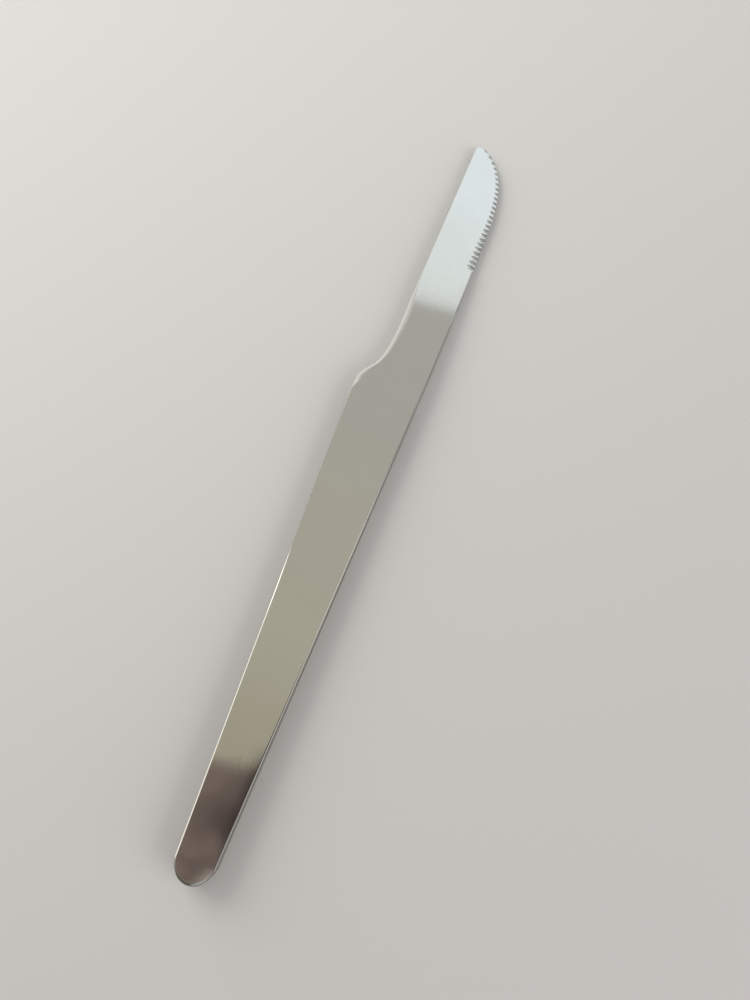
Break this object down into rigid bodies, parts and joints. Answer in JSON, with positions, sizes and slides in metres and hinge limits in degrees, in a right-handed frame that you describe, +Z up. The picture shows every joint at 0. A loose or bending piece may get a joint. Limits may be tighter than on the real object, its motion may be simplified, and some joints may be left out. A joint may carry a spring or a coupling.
{
  "type": "dinner knife",
  "caption": "Table knife with a long tapering hollow handle, a curved shoulder and a round-bellied blade with a fine serrated edge.",
  "frame": {"origin": "on the table, under the middle of the bounding box of the lying knife", "axes": "+X along the knife from the butt to the tip, +Y towards the back of the blade, +Z up from the table"},
  "size_m": [0.2022, 0.0182, 0.006],
  "materials": {
    "blade_steel": "mirror polished stainless steel with fine wear scratches",
    "shell_steel": "mirror polished stainless steel with fine wear scratches",
    "cement": "matt, cast round the tang",
    "braze": "ground and polished flush"
  },
  "bodies": {
    "root": {"blade": "blade_steel", "handle_upper_shell": "shell_steel", "handle_lower_shell": "shell_steel", "tang_cement": "cement", "shell_seam_braze": "braze"}
  },
  "joints": []
}
